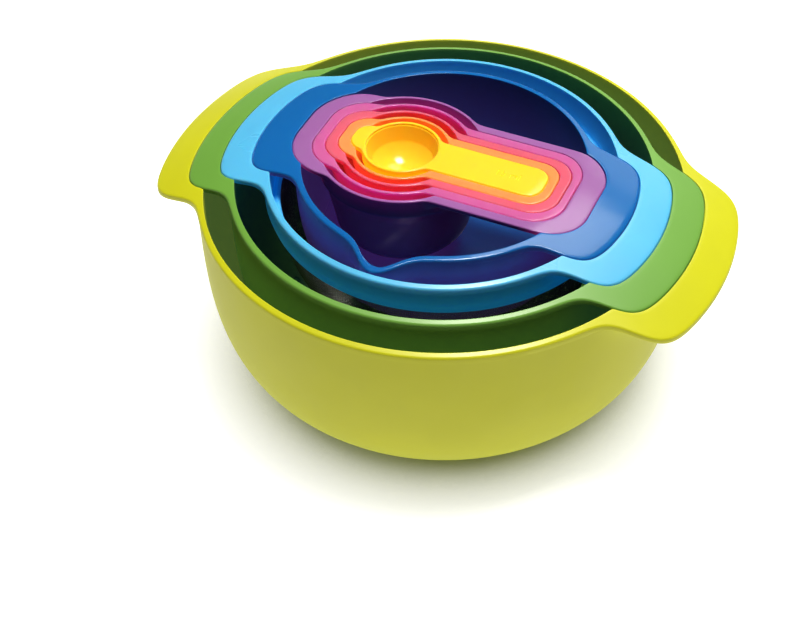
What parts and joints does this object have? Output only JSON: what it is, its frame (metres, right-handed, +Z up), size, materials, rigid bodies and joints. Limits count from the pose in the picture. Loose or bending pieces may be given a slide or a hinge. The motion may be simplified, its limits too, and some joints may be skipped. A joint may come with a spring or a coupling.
{
  "type": "nesting bowl set",
  "caption": "Nest of lidless plastic kitchen vessels with wing handles: mixing bowls, colander, fine sieve, measuring cups and a measuring spoon on one shared rim dome.",
  "frame": {"origin": "on the table under the centre of the large bowl", "axes": "+Z up, out of the bowls; +X through the right-hand handles, the way the measuring handles point; the small bowl's pour spout is at -Y"},
  "size_m": [0.3144, 0.2626, 0.1285],
  "materials": {
    "lime_plastic": "smooth moulded polypropylene, satin sheen",
    "lime_grip": "matt non-slip ring",
    "green_plastic": "smooth moulded polypropylene, satin sheen",
    "sky_plastic": "smooth moulded polypropylene, satin sheen",
    "steel_mesh": "fine plain-woven stainless wire",
    "blue_plastic": "smooth moulded polypropylene, satin sheen",
    "blue_grip": "matt non-slip ring",
    "purple_plastic": "smooth moulded polypropylene",
    "magenta_plastic": "smooth moulded polypropylene",
    "red_plastic": "smooth moulded polypropylene",
    "orange_plastic": "smooth moulded polypropylene",
    "yellow_plastic": "smooth moulded polypropylene"
  },
  "bodies": {
    "large_bowl": {"large_bowl_shell": "lime_plastic", "large_bowl_base_ring": "lime_grip"},
    "colander": {"colander_shell": "green_plastic"},
    "sieve": {"sieve_frame": "sky_plastic", "sieve_mesh": "steel_mesh"},
    "small_bowl": {"small_bowl_shell": "blue_plastic", "small_bowl_base_ring": "blue_grip"},
    "cup_250": {"cup_250ml": "purple_plastic"},
    "cup_125": {"cup_125ml": "magenta_plastic"},
    "cup_85": {"cup_85ml": "red_plastic"},
    "cup_60": {"cup_60ml": "orange_plastic"},
    "spoon_15": {"spoon_15ml": "yellow_plastic"}
  },
  "joints": [
    {"name": "colander_lift", "type": "slide", "parent": "large_bowl", "child": "colander", "axis": [0, 0, 1], "range_m": [0, 0.12]},
    {"name": "sieve_lift", "type": "slide", "parent": "colander", "child": "sieve", "axis": [0, 0, 1], "range_m": [0, 0.1]},
    {"name": "small_bowl_lift", "type": "slide", "parent": "sieve", "child": "small_bowl", "axis": [0, 0, 1], "range_m": [0, 0.075]},
    {"name": "cup_250_lift", "type": "slide", "parent": "small_bowl", "child": "cup_250", "axis": [0, 0, 1], "range_m": [0, 0.065]},
    {"name": "cup_125_lift", "type": "slide", "parent": "cup_250", "child": "cup_125", "axis": [0, 0, 1], "range_m": [0, 0.05]},
    {"name": "cup_85_lift", "type": "slide", "parent": "cup_125", "child": "cup_85", "axis": [0, 0, 1], "range_m": [0, 0.045]},
    {"name": "cup_60_lift", "type": "slide", "parent": "cup_85", "child": "cup_60", "axis": [0, 0, 1], "range_m": [0, 0.042]},
    {"name": "spoon_15_lift", "type": "slide", "parent": "cup_60", "child": "spoon_15", "axis": [0, 0, 1], "range_m": [0, 0.028]}
  ]
}
